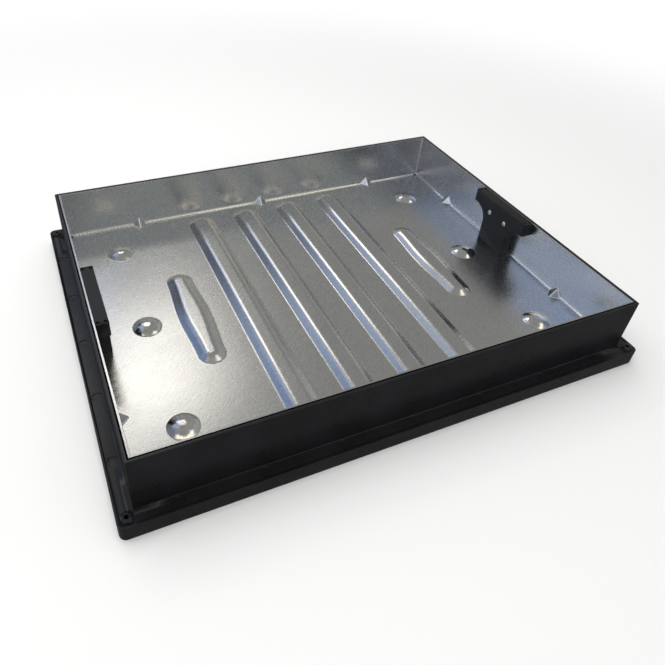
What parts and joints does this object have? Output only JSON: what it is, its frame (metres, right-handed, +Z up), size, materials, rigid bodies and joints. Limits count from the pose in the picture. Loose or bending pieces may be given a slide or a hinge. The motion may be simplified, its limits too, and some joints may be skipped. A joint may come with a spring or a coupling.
{
  "type": "recessed paving cover",
  "caption": "Recessed paving cover: a pressed galvanised steel tray for a paving infill, with lifting sockets, resting in a moulded plastic frame.",
  "frame": {"origin": "on the ground, under the middle of the cover", "axes": "+X along the long side, +Y along the short side, +Z up to the rim"},
  "size_m": [0.687, 0.537, 0.096],
  "materials": {
    "frame_plastic": "moulded black plastic, satin",
    "seal_foam": "closed-cell foam",
    "galvanised_sheet": "galvanised, satin with a fine speckle",
    "block_plastic": "moulded black plastic",
    "cap_plastic": "moulded black plastic",
    "key_plate_steel": "zinc plated",
    "rivet_metal": "bright"
  },
  "bodies": {
    "root": {"frame": "frame_plastic", "seal_strip": "seal_foam", "tray": "galvanised_sheet", "lift_block_left": "block_plastic", "lift_block_right": "block_plastic", "lift_cap_left": "cap_plastic", "lift_cap_right": "cap_plastic", "key_plate_left": "key_plate_steel", "key_plate_right": "key_plate_steel", "block_rivets": "rivet_metal"}
  },
  "joints": []
}
